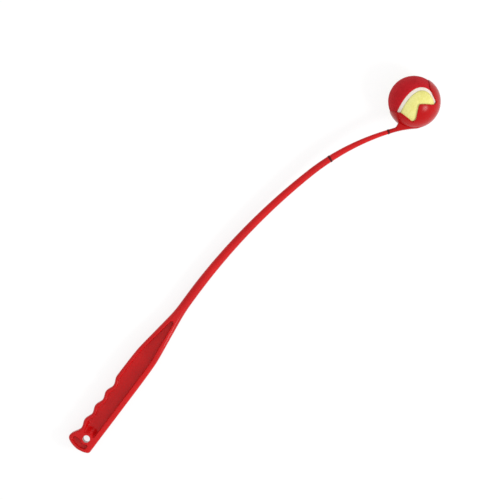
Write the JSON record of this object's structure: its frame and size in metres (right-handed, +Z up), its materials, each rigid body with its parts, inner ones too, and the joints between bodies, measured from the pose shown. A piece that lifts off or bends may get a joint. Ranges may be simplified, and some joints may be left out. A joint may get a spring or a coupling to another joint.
{
  "type": "ball launcher",
  "caption": "Curved ball launcher with a finger-grooved grip, a hang hole, a tapering shaft and a pronged snap cup that holds a felt ball in yellow and red.",
  "frame": {"origin": "centre of the bounding box's base, on the surface that the launcher lies on", "axes": "+X from the grip towards the cup, +Y to the finger side of the grip, +Z up as the launcher lies on its side"},
  "size_m": [0.6606, 0.0788, 0.0677],
  "materials": {
    "red_plastic": "gloss",
    "dark_ring": "satin",
    "yellow_felt": "felt",
    "red_felt": "felt",
    "seam": "matte",
    "core": "matte"
  },
  "bodies": {
    "launcher": {"handle": "red_plastic", "lower_joint_ring": "dark_ring", "shaft_link": "red_plastic", "upper_joint_ring": "dark_ring", "cup_head": "red_plastic"},
    "ball": {"ball_felt_yellow": "yellow_felt", "ball_felt_red": "red_felt", "ball_seam": "seam", "ball_core_front": "core", "ball_core_back": "core"}
  },
  "joints": [
    {"name": "ball_out", "type": "slide", "parent": "launcher", "child": "ball", "axis": [0.1179, 0.9602, -0.2532], "range_m": [0, 0.08]}
  ]
}
